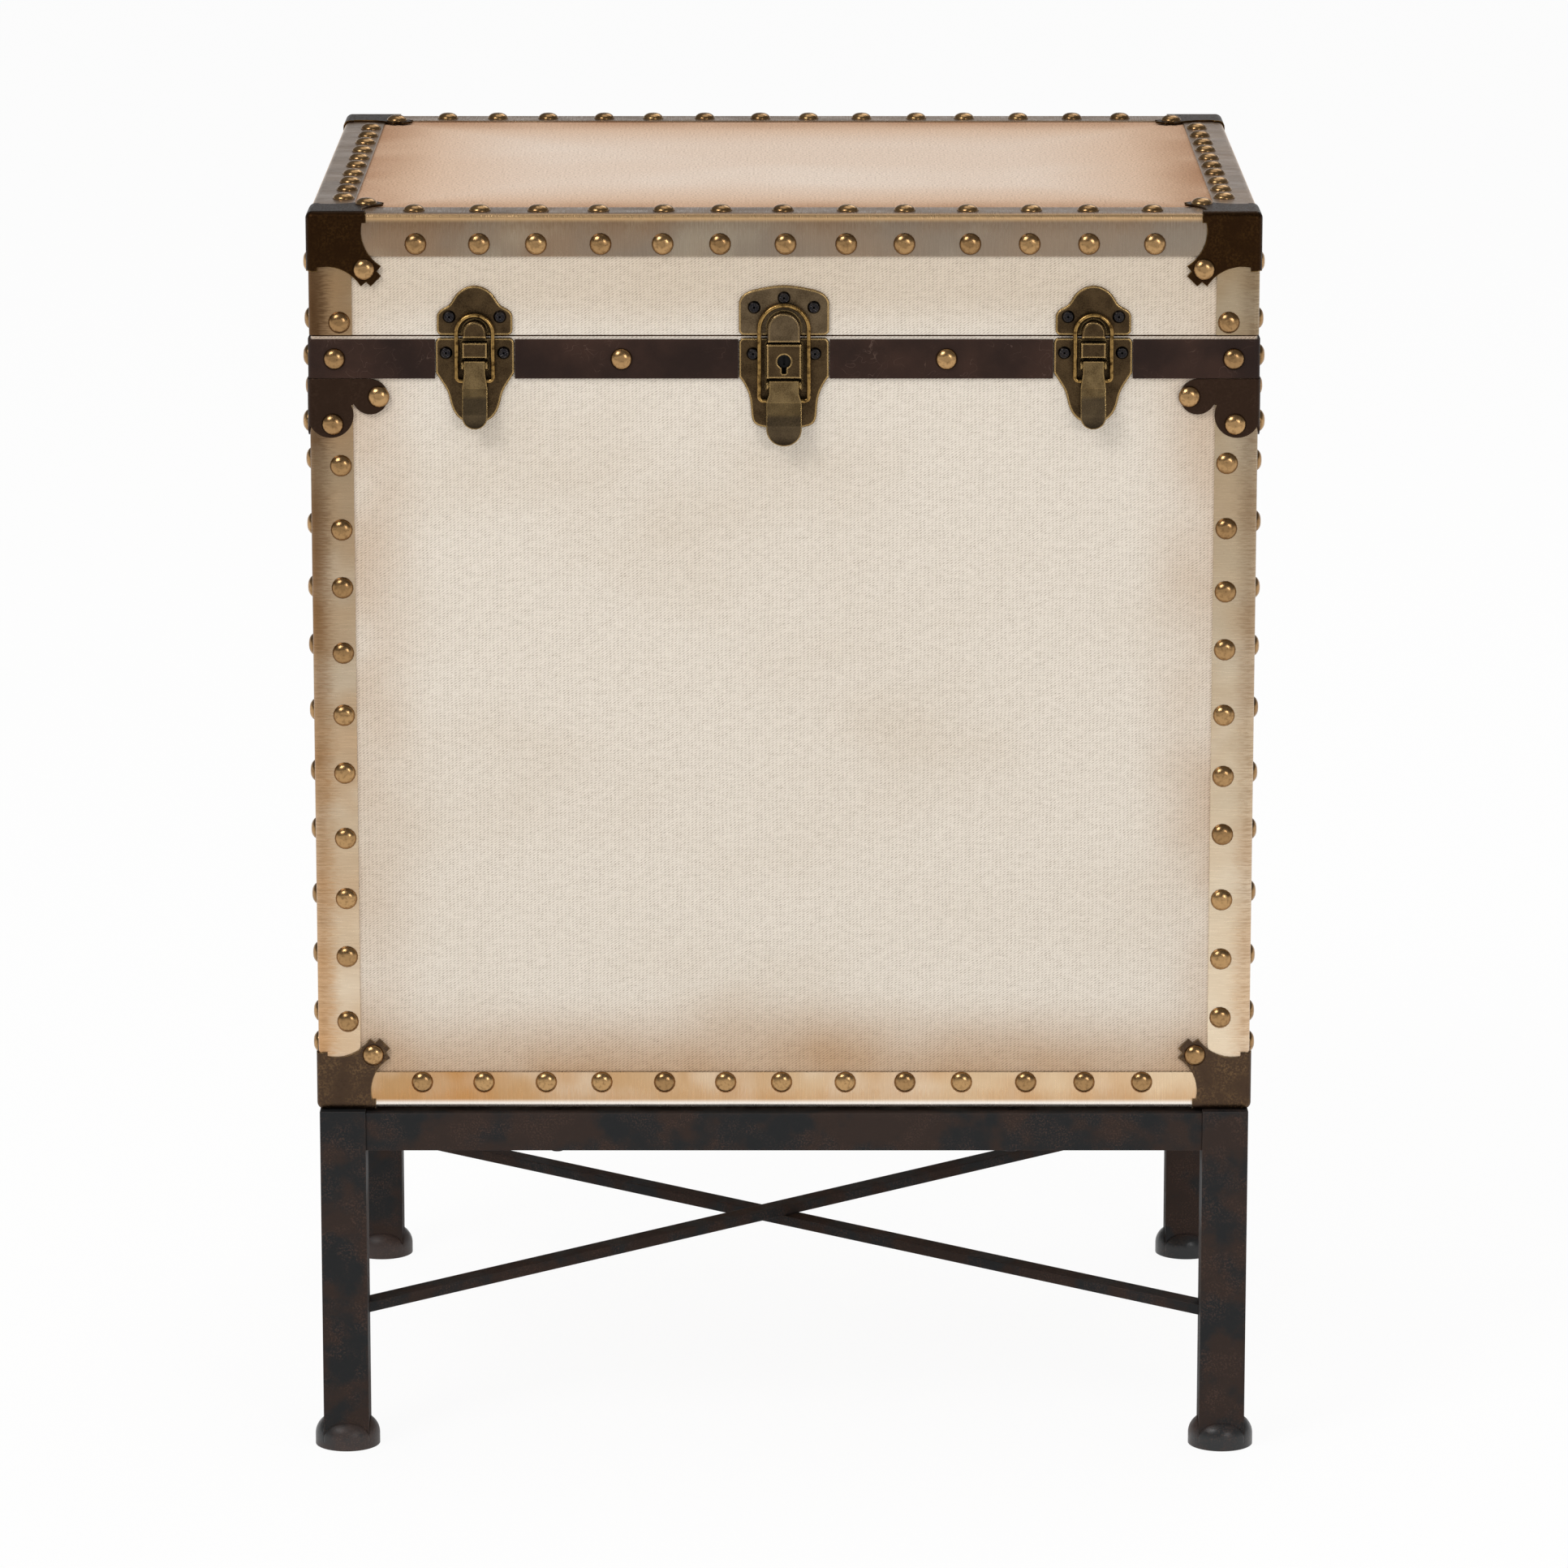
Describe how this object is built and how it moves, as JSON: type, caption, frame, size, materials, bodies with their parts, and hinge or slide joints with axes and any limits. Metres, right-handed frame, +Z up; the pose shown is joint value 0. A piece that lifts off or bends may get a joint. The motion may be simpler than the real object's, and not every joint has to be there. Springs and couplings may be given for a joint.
{
  "type": "storage trunk",
  "caption": "Canvas-covered storage trunk with metal edges, hinged lid, draw catches and a keyed centre lock, standing on a square tube stand.",
  "frame": {"origin": "on the floor, under the middle of the four feet", "axes": "+X to the viewer's right, +Y from the catches to the hinges, +Z up"},
  "size_m": [0.4584, 0.3684, 0.6108],
  "materials": {
    "stand_steel": "blackened steel, rubbed through to rust in patches",
    "carcass_board": "bare sawn board",
    "canvas": "natural twill canvas, stained brown towards its edges",
    "lining_paper": "plain lining paper",
    "brass_strip": "thin rolled brass, satin and a little tarnished",
    "cap_bronze": "dark bronzed pressing",
    "clover_bronze": "very dark bronzed pressing",
    "band_leather": "dark brown harness leather, scuffed",
    "nail_brass": "antique brass, polished on the crown",
    "catch_brass": "antique brass, dark in the hollows and bright on the edges",
    "screw_steel": "blackened steel"
  },
  "bodies": {
    "base": {"box_back_board": "carcass_board", "box_bottom_caps": "cap_bronze", "box_bottom_strips": "brass_strip", "box_canvas": "canvas", "box_corner_strips": "brass_strip", "box_floor_board": "carcass_board", "box_front_board": "carcass_board", "box_left_board": "carcass_board", "box_lining": "lining_paper", "box_nails": "nail_brass", "box_right_board": "carcass_board", "box_screws": "screw_steel", "box_top_caps": "clover_bronze", "catch_plate_left": "catch_brass", "catch_plate_right": "catch_brass", "foot_back_left": "stand_steel", "foot_back_right": "stand_steel", "foot_front_left": "stand_steel", "foot_front_right": "stand_steel", "hinge_box_leaves": "catch_brass", "hinge_pins": "catch_brass", "leather_band": "band_leather", "leg_back_left": "stand_steel", "leg_back_right": "stand_steel", "leg_front_left": "stand_steel", "leg_front_right": "stand_steel", "lever_pins": "catch_brass", "lock_plate": "catch_brass", "rail_back": "stand_steel", "rail_front": "stand_steel", "rail_left": "stand_steel", "rail_right": "stand_steel", "stand_screws": "screw_steel", "stretcher_lower": "stand_steel", "stretcher_upper": "stand_steel"},
    "lid": {"catch_strike_left": "catch_brass", "catch_strike_right": "catch_brass", "hinge_lid_leaves": "catch_brass", "lid_back_board": "carcass_board", "lid_canvas": "canvas", "lid_corner_caps": "cap_bronze", "lid_corner_strips": "brass_strip", "lid_edge_strips": "brass_strip", "lid_front_board": "carcass_board", "lid_left_board": "carcass_board", "lid_lining": "lining_paper", "lid_nails": "nail_brass", "lid_right_board": "carcass_board", "lid_screws": "screw_steel", "lid_top_board": "carcass_board", "lock_strike": "catch_brass"},
    "lever_left": {"catch_lever_left": "catch_brass"},
    "bail_left": {"catch_bail_left": "catch_brass"},
    "lever_right": {"catch_lever_right": "catch_brass"},
    "bail_right": {"catch_bail_right": "catch_brass"},
    "lever_centre": {"lock_lever": "catch_brass"},
    "bail_centre": {"lock_bail": "catch_brass"},
    "plug": {"lock_plug": "catch_brass"}
  },
  "joints": [
    {"name": "lid_hinge", "type": "hinge", "parent": "base", "child": "lid", "pos_m": [0, 0.1774, 0.54885], "axis": [-1, 0, 0], "range_deg": [0, 100]},
    {"name": "lever_left_swing", "type": "hinge", "parent": "base", "child": "lever_left", "pos_m": [-0.1464, -0.1792, 0.53535], "axis": [-1, 0, 0], "range_deg": [0, 120]},
    {"name": "bail_left_swing", "type": "hinge", "parent": "lever_left", "child": "bail_left", "pos_m": [-0.1464, -0.1792, 0.52785], "axis": [-1, 0, 0], "range_deg": [-156, 0]},
    {"name": "lever_centre_swing", "type": "hinge", "parent": "base", "child": "lever_centre", "pos_m": [0, -0.1792, 0.52585], "axis": [-1, 0, 0], "range_deg": [0, 120]},
    {"name": "bail_centre_swing", "type": "hinge", "parent": "lever_centre", "child": "bail_centre", "pos_m": [0, -0.1792, 0.51835], "axis": [-1, 0, 0], "range_deg": [-156, 0]},
    {"name": "lever_right_swing", "type": "hinge", "parent": "base", "child": "lever_right", "pos_m": [0.1464, -0.1792, 0.53535], "axis": [-1, 0, 0], "range_deg": [0, 120]},
    {"name": "bail_right_swing", "type": "hinge", "parent": "lever_right", "child": "bail_right", "pos_m": [0.1464, -0.1792, 0.52785], "axis": [-1, 0, 0], "range_deg": [-156, 0]},
    {"name": "key_turn", "type": "hinge", "parent": "base", "child": "plug", "pos_m": [0, -0.1772, 0.5374], "axis": [0, 1, 0], "range_deg": [0, 90]}
  ],
  "couplings": [
    {"joint": "bail_left_swing", "follows": "lever_left_swing", "ratio": -1.3},
    {"joint": "bail_centre_swing", "follows": "lever_centre_swing", "ratio": -1.3},
    {"joint": "bail_right_swing", "follows": "lever_right_swing", "ratio": -1.3}
  ]
}
